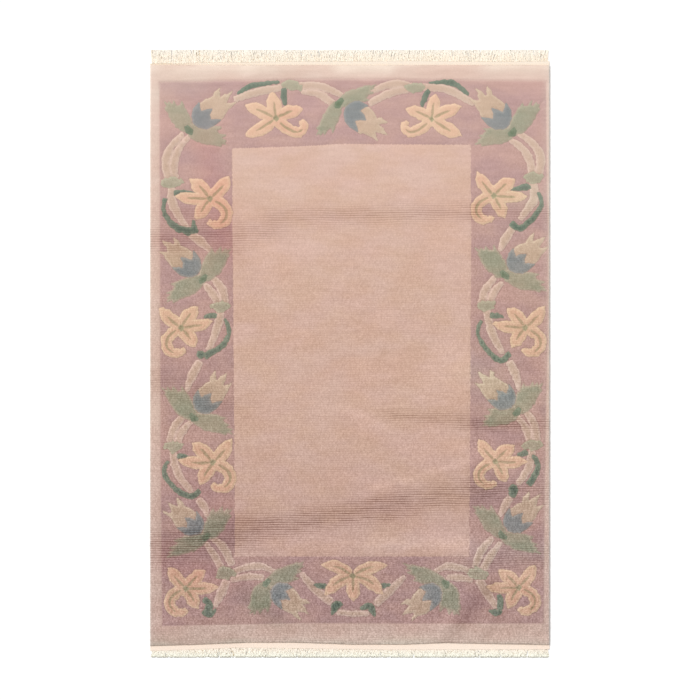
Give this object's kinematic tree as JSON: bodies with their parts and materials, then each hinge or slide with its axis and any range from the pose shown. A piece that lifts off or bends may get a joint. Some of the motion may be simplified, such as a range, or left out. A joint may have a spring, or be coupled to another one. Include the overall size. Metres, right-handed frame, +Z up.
{
  "type": "hand-knotted wool rug",
  "caption": "Rectangular hand-knotted wool rug, lying flat, with a carved floral border, a plain field, flat-woven ends and fringe.",
  "frame": {"origin": "under the middle of the rug, on the surface that it lies on", "axes": "+X across the rug's width, +Y along its length towards the end with the longer fringe, +Z up out of the pile"},
  "size_m": [1.22, 1.8544, 0.0128],
  "materials": {
    "wool_pile": "cut and carved wool pile in rose, pink-beige, peach, sage, grey-blue and dark green",
    "flat_weave": "flat-woven cream cotton and wool",
    "warp_fringe": "loosely twisted undyed cotton warp ends"
  },
  "bodies": {
    "root": {"pile_carpet": "wool_pile", "kilim_end_top": "flat_weave", "kilim_end_bottom": "flat_weave", "fringe_top": "warp_fringe", "fringe_bottom": "warp_fringe"}
  },
  "joints": []
}
